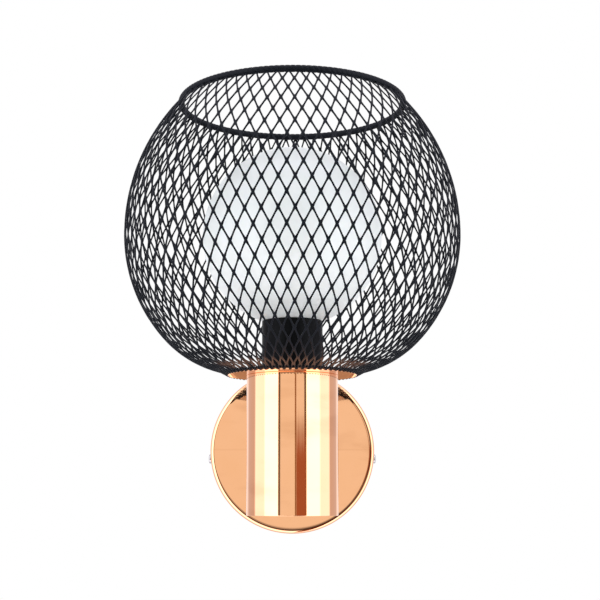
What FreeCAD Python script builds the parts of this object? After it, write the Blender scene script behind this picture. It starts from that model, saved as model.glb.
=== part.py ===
import FreeCAD, Part
import math
import os
import re
import Sketcher

# Wall light with an expanded-metal basket round an opal globe lamp.
# Frame: X to the right along the wall, Y into the wall, Z up, millimetres.
# Origin: on the wall, in the middle of the two wall-screw slots, level with the arm.
# The basket, lamp, lampholder and body tube share one upright axis in front of the wall.

SIZES = [
    # fixing to the wall
    ("plate_thick", 2.0, "pressed plate behind the canopy"),
    ("plate_radius", 50.0, "round middle of the plate"),
    ("strap_width", 22.0, "height of the strap whose ends are bent forward"),
    ("tab_depth", 19.0, "how far the bent ends reach from the wall"),
    ("bend_radius", 1.5, "inside of the strap's bends"),
    ("slot_spacing", 60.0, "between the two wall-screw slots"),
    ("slot_width", 5.0, "wall-screw slot"),
    ("slot_length", 12.0, "wall-screw slot, end to end"),
    ("cable_hole_radius", 9.0, "cable hole in the middle of the plate"),
    ("screw_radius", 1.95, "M4 screws"),
    ("screw_hole_radius", 2.0, "tapped M4 holes"),
    ("screw_play", 0.25, "M4 clearance holes, beyond the screw"),
    ("head_radius", 3.5, "M4 screw heads"),
    ("head_height", 2.0, "M4 screw heads"),
    ("screw_end_gap", 0.2, "ends of the plate's screws to the wall"),
    ("side_screw_length", 7.0, "side screws, under the head"),
    ("side_screw_depth", 11.0, "side screws, from the wall"),
    ("side_screw_drop", 5.5, "side screws, below the middle"),
    ("earth_drop", 30.0, "earth screw, below the middle"),
    ("earth_length", 5.0, "earth screw, under the head"),
    ("tag_thick", 0.8, "ring tag under the earth screw"),
    ("tag_radius", 4.5, "ring tag"),
    ("tag_wall", 0.4, "ring tag's barrel"),
    ("barrel_gap", 0.1, "ring tag's barrel to the plate"),
    ("barrel_clear", 0.3, "ring tag's barrel to the screw's head"),
    ("barrel_length", 5.0, "ring tag's barrel"),
    # connector strip
    ("block_width", 27.0, "connector strip"),
    ("block_height", 15.0, "connector strip"),
    ("block_depth", 13.0, "connector strip"),
    ("block_rise", 31.0, "middle of the strip above the middle of the plate"),
    ("pole_pitch", 9.0, "between the strip's poles"),
    ("pole_bore_radius", 1.7, "wire entries"),
    ("pole_bore_depth", 8.0, "wire entries, from the wall"),
    ("clamp_radius", 1.8, "clamp screws"),
    ("clamp_length", 3.2, "clamp screws"),
    ("clamp_offset", 4.0, "clamp screws, above and below the strip's middle"),
    ("clamp_sink", 0.5, "clamp screws, below the strip's front"),
    ("block_screw_radius", 1.45, "screw that holds the strip"),
    ("block_tap_radius", 1.5, "tapped hole for it in the plate"),
    ("block_play", 0.1, "screw in the strip's hole and recess"),
    ("block_head_radius", 2.1, "its head"),
    ("block_head_height", 1.6, "its head"),
    # canopy
    ("canopy_radius", 62.7, "round cover on the wall"),
    ("canopy_depth", 28.0, "canopy, from the wall"),
    ("canopy_wall", 1.2, "canopy sheet"),
    ("canopy_round", 2.6, "canopy's front edge"),
    ("tab_gap", 0.4, "canopy wall to the plate's tabs"),
    # arm
    ("axis_reach", 125.0, "wall to the upright axis"),
    ("arm_radius", 9.0, "arm sleeve"),
    ("arm_wall", 1.5, "arm sleeve"),
    ("rod_radius", 5.0, "M10 hollow rod"),
    ("rod_bore_radius", 3.5, "M10 hollow rod"),
    ("rod_play", 0.2, "rod in its holes"),
    ("rod_end_play", 2.5, "rod beyond each nut"),
    ("nut_flats", 17.0, "M10 nuts, across flats"),
    ("nut_height", 5.0, "M10 nuts"),
    ("thread_play", 0.05, "between a thread and its nut"),
    ("washer_radius", 10.0, "M10 washer"),
    ("washer_thick", 1.5, "M10 washer"),
    ("saddle_size", 20.0, "saddle inside the body tube, square"),
    ("saddle_thick", 3.0, "saddle at its middle"),
    ("bush_wall", 0.8, "insulating bushes in the rod's ends"),
    ("bush_length", 8.0, "insulating bushes"),
    ("bush_lip", 1.0, "lip of a bush"),
    # body tube and flange
    ("tube_radius", 31.5, "upright tube"),
    ("tube_wall", 1.5, "upright tube"),
    ("tube_height", 96.0, "upright tube, the arm at half height"),
    ("fit_gap", 0.05, "spigots in the tube"),
    ("cap_thick", 1.2, "bottom cap"),
    ("cap_recess", 1.0, "bottom cap, inside the tube's edge"),
    ("spigot_depth", 5.0, "spigots of the bottom cap and the flange"),
    ("spigot_wall", 1.2, "their walls"),
    ("flange_radius", 44.7, "disc on the tube"),
    ("flange_thick", 1.2, "disc on the tube"),
    # lampholder
    ("foot_thick", 1.2, "black disc in the basket's foot"),
    ("stem_radius", 16.0, "threaded lower part of the insert"),
    ("stem_play", 0.15, "insert in its holes"),
    ("ring_nut_radius", 20.0, "ring nut"),
    ("ring_nut_height", 4.0, "ring nut"),
    ("cover_radius", 21.0, "black cup round the lampholder"),
    ("cover_wall", 1.2, "black cup"),
    ("cover_round", 0.5, "black cup's top edge"),
    ("cover_height", 36.8, "black cup, above the flange"),
    ("insert_gap", 0.6, "insert to the black cup"),
    ("insert_rise", 10.0, "insert above its shoulder"),
    ("insert_drop", 24.0, "insert below its shoulder"),
    ("insert_floor", 4.0, "insert's floor"),
    ("shell_radius", 13.4, "screw shell, inside"),
    ("shell_wall", 0.4, "screw shell"),
    ("shell_gap", 0.2, "screw shell in the insert"),
    ("wire_radius", 1.1, "insulated leads"),
    ("wire_gap", 0.4, "leads in their entries"),
    ("wire_seat", 3.0, "leads inside their entries"),
    ("wire_spread", 1.25, "each of the two leads from the arm's middle"),
    ("wire_end_gap", 0.5, "leads' ends to the floor of the insert's entries"),
    ("lead_drop", 6.0, "leads, straight down from the strip"),
    ("lead_level", 13.0, "where the leads have drawn together above the arm"),
    ("lead_rise", 14.0, "where the leads have spread again above the arm"),
    ("lead_inset", 1.0, "leads at the rod, nearer the wall than in the strip"),
    ("earth_bow", 6.0, "earth lead's bow to the side"),
    ("rivet_radius", 2.0, "contact screws"),
    ("rivet_length", 2.5, "contact screws"),
    ("rivet_offset", 9.0, "contact screws from the axis"),
    ("entry_offset", 8.0, "wire entries from the axis, towards the wall"),
    ("leaf_width", 6.0, "centre contact"),
    ("leaf_thick", 0.5, "centre contact"),
    ("leaf_reach", 9.0, "centre contact, from the axis to its foot"),
    # lamp
    ("lamp_gap", 0.2, "lamp to the centre contact"),
    ("globe_radius", 62.5, "opal globe"),
    ("globe_clear", 0.6, "globe to the black cup's edge"),
    ("glass_wall", 1.0, "opal globe"),
    ("neck_radius", 16.0, "globe's neck"),
    ("collar_radius", 12.4, "neck inside the cap"),
    ("collar_length", 12.0, "neck inside the cap"),
    ("cone_height", 6.0, "neck's taper above the cap"),
    ("thread_gap", 0.15, "cap to the screw shell"),
    ("cap_length", 21.0, "screw cap"),
    ("cap_wall", 0.3, "screw cap"),
    ("glaze_height", 4.0, "glazed ring at the cap's end"),
    ("glaze_foot_radius", 6.0, "glazed ring at its foot"),
    ("glaze_seat", 1.0, "glazed ring inside the cap"),
    ("tip_radius", 4.8, "end contact"),
    ("tip_height", 2.0, "end contact"),
    ("tip_face_radius", 3.4, "end contact's flat"),
    ("mount_radius", 5.0, "glass mount inside the globe"),
    ("mount_foot", 11.0, "flare of the mount"),
    ("mount_height", 42.0, "glass mount above the cap"),
    ("strip_count", 4, "light-giving strips"),
    ("strip_radius", 1.0, "light-giving strips"),
    ("strip_length", 42.0, "light-giving strips"),
    ("strip_circle", 8.0, "their circle"),
    # basket
    ("cage_radius", 117.5, "basket at its widest"),
    ("cage_foot_radius", 45.2, "basket's bottom edge"),
    ("cage_rim_radius", 80.6, "basket's top edge"),
    ("foot_arc", 74.5, "outline near the foot"),
    ("side_arc", 108.0, "outline below the widest place"),
    ("side_angle", 42.5, "degrees that the side arc covers"),
    ("shoulder_arc", 137.0, "outline above the widest place"),
    ("cell_count", 35, "diamonds round the basket"),
    ("cell_rows", 12, "half rows of diamonds from foot to rim"),
    ("gore_count", 18, "upright strips of the sheet, side by side round the basket"),
    ("hem", 1.6, "closed edge at foot and rim"),
    ("strand_width", 1.7, "strands of the expanded metal"),
    ("strand_thick", 1.2, "strands of the expanded metal"),
    ("rim_wire", 4.7, "wire of the rim ring"),
    ("weld_gap", 0.05, "between welded pieces"),
]

FUNCTIONS = {"sqrt"}

SAME = 0.01  # two lengths this near to each other are the same edge's

TURNS = {
    "z": FreeCAD.Rotation(),
    "-y": FreeCAD.Rotation(FreeCAD.Vector(1, 0, 0), 90),
    "x": FreeCAD.Rotation(FreeCAD.Vector(0, 1, 0), 90),
}

doc = FreeCAD.newDocument("CageWallLight")
sheet = doc.addObject("Spreadsheet::Sheet", "Sizes")
PARTS = []


def fill_sheet():
    """One row for each size: its name, its value and what it measures."""
    for row, (name, value, meaning) in enumerate(SIZES, start=1):
        sheet.set("A%d" % row, name)
        sheet.set("B%d" % row, str(value))
        sheet.set("C%d" % row, meaning)
        sheet.setAlias("B%d" % row, name)
    doc.recompute()


def bound(text):
    """The expression for a formula in sizes: every size's name gets the sheet's name before it."""
    def name(match):
        word = match.group(0)
        return word if word in FUNCTIONS else "Sizes." + word
    return re.sub(r"[a-z][a-z_]*", name, str(text))


def value(text):
    """The number that a formula in sizes gives now."""
    number = sheet.evalExpression(bound(text))
    return float(getattr(number, "Value", number))


def bind(item, **formulas):
    for name, formula in formulas.items():
        item.setExpression(name, bound(formula))


def place(item, at):
    for axis, formula in zip("xyz", at):
        item.setExpression("Placement.Base." + axis, bound(formula))


def part(item, label):
    item.Label = label
    PARTS.append(item)
    return item


# ---- solids from primitives ----

def cylinder(name, radius, height, at, along="z"):
    item = doc.addObject("Part::Cylinder", name)
    item.Placement = FreeCAD.Placement(FreeCAD.Vector(), TURNS[along])
    bind(item, Radius=radius, Height=height)
    place(item, at)
    return item


def box(name, size, at):
    item = doc.addObject("Part::Box", name)
    bind(item, Length=size[0], Width=size[1], Height=size[2])
    place(item, at)
    return item


def fuse(name, *items):
    item = doc.addObject("Part::MultiFuse", name)
    item.Shapes = list(items)
    return item


def cut(name, base, *tools):
    item = doc.addObject("Part::Cut", name)
    item.Base = base
    item.Tool = tools[0] if len(tools) == 1 else fuse(name + "_tools", *tools)
    return item


def common(name, *items):
    item = doc.addObject("Part::MultiCommon", name)
    item.Shapes = list(items)
    return item


def group(name, *items):
    item = doc.addObject("Part::Compound", name)
    item.Links = list(items)
    return item


def mirrored(name, source):
    """The source's twin on the other side of the middle plane."""
    item = doc.addObject("Part::Mirroring", name)
    item.Source = source
    item.Normal = FreeCAD.Vector(1, 0, 0)
    return item


# ---- bodies from sketches ----

def new_body(label, at=("0", "0", "0")):
    body = doc.addObject("PartDesign::Body", label)
    place(body, at)
    return part(body, label)


def new_sketch(body, name, plane):
    sketch = body.newObject("Sketcher::SketchObject", name)
    origin = [item for item in body.Origin.OriginFeatures if item.Role == plane][0]
    sketch.AttachmentSupport = (origin, "")
    sketch.MapMode = "FlatFace"
    return sketch


def arc_centre(start, end, known, number):
    """The centre with one known coordinate that lies as far from both ends."""
    middle = ((start[0] + end[0]) / 2, (start[1] + end[1]) / 2)
    chord = (end[0] - start[0], end[1] - start[1])
    if known == "x":
        return number, middle[1] - (number - middle[0]) * chord[0] / chord[1]
    return middle[0] - (number - middle[1]) * chord[1] / chord[0], number


def outline(sketch, corners):
    """A closed outline in a sketch, every corner held by two formulas.

    A corner is (x, y), and a line leaves it. A corner (x, y, known, formula, turn) starts an
    arc, whose centre has the x or y that the formula gives, and which turns +1 or -1.
    """
    points = [(value(corner[0]), value(corner[1])) for corner in corners]
    first = sketch.GeometryCount
    for index, corner in enumerate(corners):
        start = points[index]
        end = points[(index + 1) % len(corners)]
        if len(corner) == 2:
            sketch.addGeometry(Part.LineSegment(FreeCAD.Vector(*start, 0), FreeCAD.Vector(*end, 0)))
            continue
        centre = arc_centre(start, end, corner[2], value(corner[3]))
        turn = corner[4]
        radius = math.dist(centre, start)
        ends = (start, end) if turn > 0 else (end, start)
        angles = [math.atan2(y - centre[1], x - centre[0]) for x, y in ends]
        circle = Part.Circle(FreeCAD.Vector(*centre, 0), FreeCAD.Vector(0, 0, 1), radius)
        if angles[1] <= angles[0]:
            angles[1] += 2 * math.pi
        sketch.addGeometry(Part.ArcOfCircle(circle, angles[0], angles[1]))
    backward = [len(corner) == 5 and corner[4] < 0 for corner in corners]
    for index, corner in enumerate(corners):
        edge = first + index
        follower = first + (index + 1) % len(corners)
        end_vertex = 1 if backward[index] else 2
        next_vertex = 2 if backward[(index + 1) % len(corners)] else 1
        sketch.addConstraint(Sketcher.Constraint("Coincident", edge, end_vertex, follower, next_vertex))
        start_vertex = 2 if backward[index] else 1
        hold(sketch, edge, start_vertex, "x", corner[0])
        hold(sketch, edge, start_vertex, "y", corner[1])
        if len(corner) == 5:
            hold(sketch, edge, 3, corner[2], corner[3])


def hold(sketch, edge, vertex, axis, formula):
    """Keeps one coordinate of a sketch point at a formula."""
    if str(formula) == "0":
        sketch.addConstraint(Sketcher.Constraint("PointOnObject", edge, vertex, -2 if axis == "x" else -1))
        return
    kind = "DistanceX" if axis == "x" else "DistanceY"
    index = sketch.addConstraint(Sketcher.Constraint(kind, -1, 1, edge, vertex, value(formula)))
    sketch.setExpression("Constraints[%d]" % index, bound(formula))


def circle(sketch, radius, x, y):
    centre = FreeCAD.Vector(value(x), value(y), 0)
    edge = sketch.addGeometry(Part.Circle(centre, FreeCAD.Vector(0, 0, 1), value(radius)))
    hold(sketch, edge, 3, "x", x)
    hold(sketch, edge, 3, "y", y)
    index = sketch.addConstraint(Sketcher.Constraint("Radius", edge, value(radius)))
    sketch.setExpression("Constraints[%d]" % index, bound(radius))


def turned(label, corners, at=("0", "-axis_reach", "0"), plane="XZ_Plane"):
    """A body of revolution: the outline's x is the radius and its y runs along the axis."""
    body = new_body(label, at)
    sketch = new_sketch(body, label + "_outline", plane)
    outline(sketch, corners)
    turn = body.newObject("PartDesign::Revolution", label + "_turn")
    turn.Profile = (sketch, [""])
    turn.ReferenceAxis = (sketch, ["V_Axis"])
    turn.Angle = 360
    return body


def pad(body, sketch, name, length, reverse=False, middle=False):
    item = body.newObject("PartDesign::Pad", name)
    item.Profile = (sketch, [""])
    item.Reversed = reverse
    item.Midplane = middle
    bind(item, Length=length)
    return item


def pocket(body, sketch, name):
    """A cut right through the body, both ways from the sketch."""
    item = body.newObject("PartDesign::Pocket", name)
    item.Profile = (sketch, [""])
    item.Type = "ThroughAll"
    item.Midplane = True
    return item


def rounded(body, name, radius, edge_radius, height):
    """Rounds the circular edge that has this radius and lies at this height on the turning axis."""
    doc.recompute()
    base = body.Tip
    picked = []
    for index, edge in enumerate(base.Shape.Edges, start=1):
        curve = edge.Curve
        if not isinstance(curve, Part.Circle) or not edge.isClosed():
            continue
        along = curve.Center.dot(curve.Axis) * (1 if sum(curve.Axis) > 0 else -1)
        if abs(curve.Radius - value(edge_radius)) < SAME and abs(along - value(height)) < SAME:
            picked.append("Edge%d" % index)
    item = body.newObject("PartDesign::Fillet", name)
    item.Base = (base, picked)
    bind(item, Radius=radius)
    return item


# ---- fixing to the wall ----

TAB_REACH = "(canopy_radius - canopy_wall - tab_gap)"
TAB_FACE = "sqrt(%s * %s - strap_width * strap_width / 4)" % (TAB_REACH, TAB_REACH)
HEAD_SIDE = "(side_screw_drop - head_radius)"
HEAD_SEAT = "sqrt(canopy_radius * canopy_radius - %s * %s)" % (HEAD_SIDE, HEAD_SIDE)
BARREL_DEPTH = "(0 - plate_thick - wire_radius - tag_wall - barrel_gap)"


def mounting_plate():
    """Round pressed plate with a strap across it, whose ends are bent forward for the side screws."""
    body = new_body("mounting_plate")
    inner = "(%s - plate_thick)" % TAB_FACE
    bend = "(%s - plate_thick - bend_radius)" % TAB_FACE
    strap = new_sketch(body, "strap_outline", "XY_Plane")
    outline(strap, [
        ("-" + bend, "0"),
        (bend, "0", "x", bend, -1),
        (TAB_FACE, "-plate_thick - bend_radius"),
        (TAB_FACE, "-tab_depth"),
        (inner, "-tab_depth"),
        (inner, "-plate_thick - bend_radius", "x", bend, 1),
        (bend, "-plate_thick"),
        ("-" + bend, "-plate_thick", "x", "-" + bend, 1),
        ("-" + inner, "-plate_thick - bend_radius"),
        ("-" + inner, "-tab_depth"),
        ("-(%s)" % TAB_FACE, "-tab_depth"),
        ("-(%s)" % TAB_FACE, "-plate_thick - bend_radius", "x", "-" + bend, -1),
    ])
    pad(body, strap, "strap", "strap_width", middle=True)
    disc = new_sketch(body, "disc_outline", "XZ_Plane")
    circle(disc, "plate_radius", "0", "0")
    pad(body, disc, "disc", "plate_thick")
    holes = new_sketch(body, "back_holes", "XZ_Plane")
    circle(holes, "cable_hole_radius", "0", "0")
    circle(holes, "screw_hole_radius", "0", "-earth_drop")
    circle(holes, "block_tap_radius", "pole_pitch / 2", "block_rise")
    for side in ("", "-"):
        middle = side + "slot_spacing / 2"
        half = "(slot_length - slot_width) / 2"
        left = "%s - %s" % (middle, half)
        right = "%s + %s" % (middle, half)
        outline(holes, [
            (left, "-slot_width / 2"),
            (right, "-slot_width / 2", "x", right, 1),
            (right, "slot_width / 2"),
            (left, "slot_width / 2", "x", left, 1),
        ])
    pocket(body, holes, "back_holes_cut")
    tapped = new_sketch(body, "side_holes", "YZ_Plane")
    circle(tapped, "screw_hole_radius", "-side_screw_depth", "-side_screw_drop")
    pocket(body, tapped, "side_holes_cut")


def canopy_screws():
    """Two screws that hold the canopy on the plate's tabs, their heads seated on its side."""
    level = ("-side_screw_depth", "-side_screw_drop")
    head_at = ("-%s - head_height" % HEAD_SEAT, *level)
    head = cylinder("side_head", "head_radius", "head_height", head_at, "x")
    shank = cylinder("side_shank", "screw_radius", "side_screw_length", ("-" + HEAD_SEAT, *level), "x")
    left = fuse("side_screw", head, shank)
    part(group("side_screws", left, mirrored("side_screw_twin", left)), "side_screws")


def earth_point():
    """Brass earth screw in the plate, with the lead's ring tag under its head."""
    front = "-plate_thick - tag_thick"
    head = cylinder("earth_head", "head_radius", "head_height", ("0", front, "-earth_drop"), "-y")
    end = ("0", "-screw_end_gap", "-earth_drop")
    shank = cylinder("earth_shank", "screw_radius", "earth_length", end, "-y")
    part(fuse("earth_screw", head, shank), "earth_screw")
    seat = ("0", "-plate_thick", "-earth_drop")
    ring = cylinder("tag_ring", "tag_radius", "tag_thick", seat, "-y")
    hole = cylinder("tag_hole", "screw_hole_radius", "tag_thick", seat, "-y")
    start = ("head_radius + barrel_clear", BARREL_DEPTH, "-earth_drop")
    barrel = cylinder("tag_barrel", "wire_radius + tag_wall", "barrel_length", start, "x")
    bore = cylinder("tag_bore", "wire_radius + fit_gap", "barrel_length", start, "x")
    part(cut("earth_tag", fuse("tag_blank", ring, barrel), hole, bore), "earth_tag")


def connector_strip():
    """Three-pole strip on the plate, its wire entries upright and its clamp screws facing forward."""
    low = "block_rise - block_height / 2"
    front = "-plate_thick - block_depth"
    corner = ("-block_width / 2", front, low)
    block = box("strip_block", ("block_width", "block_depth", "block_height"), corner)
    tools = []
    clamps = []
    for pole in (-1, 0, 1):
        x = "%d * pole_pitch" % pole
        entry = (x, "-pole_bore_depth", low)
        tools.append(cylinder("entry_%d" % (pole + 1), "pole_bore_radius", "block_height", entry))
        for level in (-1, 1):
            name = "clamp_%d_%d" % (pole + 1, level + 1)
            z = "block_rise + %d * clamp_offset" % level
            at = (x, front + " + clamp_length", z)
            tools.append(cylinder(name + "_hole", "clamp_radius + thread_play", "clamp_length", at, "-y"))
            clamps.append(cylinder(name, "clamp_radius", "clamp_length - clamp_sink", at, "-y"))
    middle = ("pole_pitch / 2", "0", "block_rise")
    through = "block_depth + plate_thick"
    tools.append(cylinder("strip_hole", "block_screw_radius + block_play", through, middle, "-y"))
    recess = ("pole_pitch / 2", front + " + block_depth / 2", "block_rise")
    wide = "block_head_radius + block_play"
    tools.append(cylinder("strip_recess", wide, "block_depth / 2", recess, "-y"))
    part(cut("terminal_block", block, *tools), "terminal_block")
    part(group("terminal_screws", *clamps), "terminal_screws")
    head = cylinder("block_head", "block_head_radius", "block_head_height", recess, "-y")
    length = "block_depth / 2 + plate_thick - screw_end_gap"
    end = ("pole_pitch / 2", "-screw_end_gap", "block_rise")
    shank = cylinder("block_shank", "block_screw_radius", length, end, "-y")
    part(fuse("block_screw", head, shank), "block_screw")


def canopy():
    """Spun cup over the plate, with the rod's hole in front and a screw hole at each side."""
    body = turned("canopy", [
        ("rod_radius + rod_play", "-canopy_depth"),
        ("canopy_radius", "-canopy_depth"),
        ("canopy_radius", "0"),
        ("canopy_radius - canopy_wall", "0"),
        ("canopy_radius - canopy_wall", "canopy_wall - canopy_depth"),
        ("rod_radius + rod_play", "canopy_wall - canopy_depth"),
    ], at=("0", "0", "0"), plane="XY_Plane")
    rounded(body, "canopy_edge", "canopy_round", "canopy_radius", "-canopy_depth")
    inside = "canopy_radius - canopy_wall"
    rounded(body, "canopy_inner_edge", "canopy_round - canopy_wall", inside, "canopy_wall - canopy_depth")
    holes = new_sketch(body, "canopy_holes", "YZ_Plane")
    circle(holes, "screw_radius + screw_play", "-side_screw_depth", "-side_screw_drop")
    pocket(body, holes, "canopy_holes_cut")


# ---- arm ----

SADDLE_FRONT = "(axis_reach - tube_radius + tube_wall + saddle_thick)"
ROD_START = "(canopy_depth - canopy_wall - washer_thick - nut_height - rod_end_play)"
ROD_END = "(axis_reach - tube_radius + tube_wall + saddle_thick + nut_height + rod_end_play)"


def arm():
    """Sleeve between canopy and tube, its far end coped to the tube, on a hollow threaded rod."""
    length = "axis_reach - canopy_depth"
    start = ("0", "-canopy_depth", "0")
    outside = cylinder("sleeve_outside", "arm_radius", length, start, "-y")
    bore = cylinder("sleeve_bore", "arm_radius - arm_wall", length, start, "-y")
    cope_at = ("0", "-axis_reach", "-2 * arm_radius")
    cope = cylinder("sleeve_cope", "tube_radius", "4 * arm_radius", cope_at)
    part(cut("arm_tube", outside, bore, cope), "arm_tube")
    turned("arm_rod", [
        ("rod_bore_radius", "-" + ROD_START),
        ("rod_radius", "-" + ROD_START),
        ("rod_radius", "-" + ROD_END),
        ("rod_bore_radius", "-" + ROD_END),
    ], at=("0", "0", "0"), plane="XY_Plane")


def nut(name, y):
    """Hexagon nut on the rod, its back face at y."""
    item = doc.addObject("Part::Prism", name + "_hexagon")
    item.Polygon = 6
    item.Placement = FreeCAD.Placement(FreeCAD.Vector(), TURNS["-y"])
    bind(item, Circumradius="nut_flats / sqrt(3)", Height="nut_height")
    place(item, ("0", y, "0"))
    hole = cylinder(name + "_hole", "rod_radius + thread_play", "nut_height", ("0", y, "0"), "-y")
    return cut(name, item, hole)


def arm_fasteners():
    """Nuts at the rod's two ends, the washer in the canopy, the saddle in the tube, the bushes."""
    canopy_nut = nut("canopy_nut", "-(canopy_depth - canopy_wall - washer_thick - nut_height)")
    tube_nut = nut("tube_nut", "-" + SADDLE_FRONT)
    part(group("arm_nuts", canopy_nut, tube_nut), "arm_nuts")
    seat = ("0", "canopy_wall + washer_thick - canopy_depth", "0")
    ring = cylinder("washer_ring", "washer_radius", "washer_thick", seat, "-y")
    hole = cylinder("washer_hole", "rod_radius + rod_play", "washer_thick", seat, "-y")
    part(cut("arm_washer", ring, hole), "arm_washer")
    corner = ("-saddle_size / 2", "-" + SADDLE_FRONT, "-saddle_size / 2")
    blank = box("saddle_blank", ("saddle_size", "2 * saddle_thick", "saddle_size"), corner)
    bend = cylinder("saddle_bend", "tube_radius - tube_wall - fit_gap", "2 * saddle_size",
                    ("0", "-axis_reach", "-saddle_size"))
    bore = cylinder("saddle_bore", "rod_radius + rod_play", "3 * saddle_thick",
                    ("0", "2 * saddle_thick - %s" % SADDLE_FRONT, "0"), "-y")
    part(cut("saddle", common("saddle_bent", blank, bend), bore), "saddle")
    bushes = []
    for name, end, way in (("near_bush", ROD_START, 1), ("far_bush", ROD_END, -1)):
        lip_at = "-%s + bush_lip" % end if way > 0 else "-" + end
        body_at = "-" + end if way > 0 else "-%s + bush_length" % end
        lip = cylinder(name + "_lip", "rod_radius", "bush_lip", ("0", lip_at, "0"), "-y")
        sleeve_at = ("0", body_at, "0")
        sleeve = cylinder(name + "_sleeve", "rod_bore_radius - fit_gap", "bush_length", sleeve_at, "-y")
        hole_at = ("0", "-%s + bush_length" % end, "0")
        hole = cylinder(name + "_hole", "rod_bore_radius - bush_wall", "2 * bush_length", hole_at, "-y")
        bushes.append(cut(name, fuse(name + "_blank", lip, sleeve), hole))
    part(group("rod_bushes", *bushes), "rod_bushes")


# ---- upright tube, flange and lampholder ----

FLANGE_TOP = "(tube_height / 2 + flange_thick)"
FOOT_TOP = "(tube_height / 2 + flange_thick + foot_thick)"
SHOULDER = "(tube_height / 2 + flange_thick + foot_thick + cover_wall)"
SEAT = "(%s - insert_drop + insert_floor)" % SHOULDER
COVER_TOP = "(%s + cover_height)" % FLANGE_TOP


def body_tube():
    """Upright tube with one hole at the back for the rod."""
    axis = ("0", "-axis_reach", "-tube_height / 2")
    outside = cylinder("tube_outside", "tube_radius", "tube_height", axis)
    inside = cylinder("tube_inside", "tube_radius - tube_wall", "tube_height", axis)
    back = ("0", "tube_radius - axis_reach", "0")
    hole = cylinder("tube_hole", "rod_radius + rod_play", "tube_radius", back, "-y")
    part(cut("body_tube", outside, inside, hole), "body_tube")


def tube_ends():
    """Cap pressed into the bottom of the tube, and the flange whose spigot sits in its top."""
    bottom = "(cap_recess - tube_height / 2)"
    spigot = "(tube_radius - tube_wall - fit_gap)"
    turned("bottom_cap", [
        ("0", bottom),
        (spigot, bottom),
        (spigot, bottom + " + spigot_depth"),
        (spigot + " - spigot_wall", bottom + " + spigot_depth"),
        (spigot + " - spigot_wall", bottom + " + cap_thick"),
        ("0", bottom + " + cap_thick"),
    ])
    turned("flange_disc", [
        ("stem_radius + stem_play", "tube_height / 2"),
        (spigot + " - spigot_wall", "tube_height / 2"),
        (spigot + " - spigot_wall", "tube_height / 2 - spigot_depth"),
        (spigot, "tube_height / 2 - spigot_depth"),
        (spigot, "tube_height / 2"),
        ("flange_radius", "tube_height / 2"),
        ("flange_radius", FLANGE_TOP),
        ("stem_radius + stem_play", FLANGE_TOP),
    ])


def lampholder():
    """Ring nut, black cup, insert, screw shell, sprung centre contact and contact screws."""
    turned("holder_nut", [
        ("stem_radius + thread_play", "tube_height / 2 - ring_nut_height"),
        ("ring_nut_radius", "tube_height / 2 - ring_nut_height"),
        ("ring_nut_radius", "tube_height / 2"),
        ("stem_radius + thread_play", "tube_height / 2"),
    ])
    cover = turned("holder_cover", [
        ("stem_radius + stem_play", FOOT_TOP),
        ("cover_radius", FOOT_TOP),
        ("cover_radius", COVER_TOP),
        ("cover_radius - cover_wall", COVER_TOP),
        ("cover_radius - cover_wall", SHOULDER),
        ("stem_radius + stem_play", SHOULDER),
    ])
    rounded(cover, "cover_edge", "cover_round", "cover_radius", COVER_TOP)
    bottom = "(%s - insert_drop)" % SHOULDER
    bore = "(shell_radius + shell_wall + shell_gap)"
    insert = turned("holder_body", [
        ("0", bottom),
        ("stem_radius", bottom),
        ("stem_radius", SHOULDER),
        ("cover_radius - cover_wall - insert_gap", SHOULDER),
        ("cover_radius - cover_wall - insert_gap", SHOULDER + " + insert_rise"),
        (bore, SHOULDER + " + insert_rise"),
        (bore, SEAT),
        ("0", SEAT),
    ])
    entries = new_sketch(insert, "insert_entries", "XY_Plane")
    bind(entries, **{"AttachmentOffset.Base.z": bottom})
    for side in ("", "-"):
        circle(entries, "wire_radius + wire_gap", side + "wire_spread * 2", "entry_offset")
        circle(entries, "rivet_radius + thread_play", side + "rivet_offset", "0")
    cut_in = insert.newObject("PartDesign::Pocket", "insert_entries_cut")
    cut_in.Profile = (entries, [""])
    cut_in.Reversed = True
    bind(cut_in, Length="wire_seat")
    turned("thread_shell", [
        ("shell_radius", SEAT),
        ("shell_radius + shell_wall", SEAT),
        ("shell_radius + shell_wall", SHOULDER + " + insert_rise - shell_wall"),
        ("shell_radius", SHOULDER + " + insert_rise - shell_wall"),
    ])
    leaf = new_body("centre_contact", ("0", "-axis_reach", "0"))
    bent = new_sketch(leaf, "leaf_outline", "XZ_Plane")
    rise = "tip_height"
    outline(bent, [
        ("-leaf_reach", SEAT),
        ("-leaf_reach / 2", SEAT),
        ("leaf_reach / 4", SEAT + " + " + rise),
        ("leaf_reach / 2", SEAT + " + " + rise),
        ("leaf_reach / 2", SEAT + " + %s + leaf_thick" % rise),
        ("leaf_reach / 5", SEAT + " + %s + leaf_thick" % rise),
        ("-leaf_reach / 2 - leaf_thick / 3", SEAT + " + leaf_thick"),
        ("-leaf_reach", SEAT + " + leaf_thick"),
    ])
    pad(leaf, bent, "leaf", "leaf_width", middle=True)
    ends = []
    for side in ("", "-"):
        name = "rivet_left" if side else "rivet_right"
        at = (side + "rivet_offset", "-axis_reach", bottom + " + wire_seat - rivet_length")
        ends.append(cylinder(name, "rivet_radius", "rivet_length", at))
    part(group("contact_screws", *ends), "contact_screws")


# ---- lamp ----

TIP = "(%s + tip_height + leaf_thick + lamp_gap)" % SEAT
GLAZE = "(%s + tip_height)" % TIP
CAP = "(%s + glaze_height)" % GLAZE
CAP_TOP = "(%s + cap_length)" % CAP
GLOBE = "(%s + globe_clear + sqrt(globe_radius * globe_radius - cover_radius * cover_radius))" % COVER_TOP


def neck_meets_globe(radius, globe):
    return "%s - sqrt(%s * %s - %s * %s)" % (GLOBE, globe, globe, radius, radius)


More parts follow.
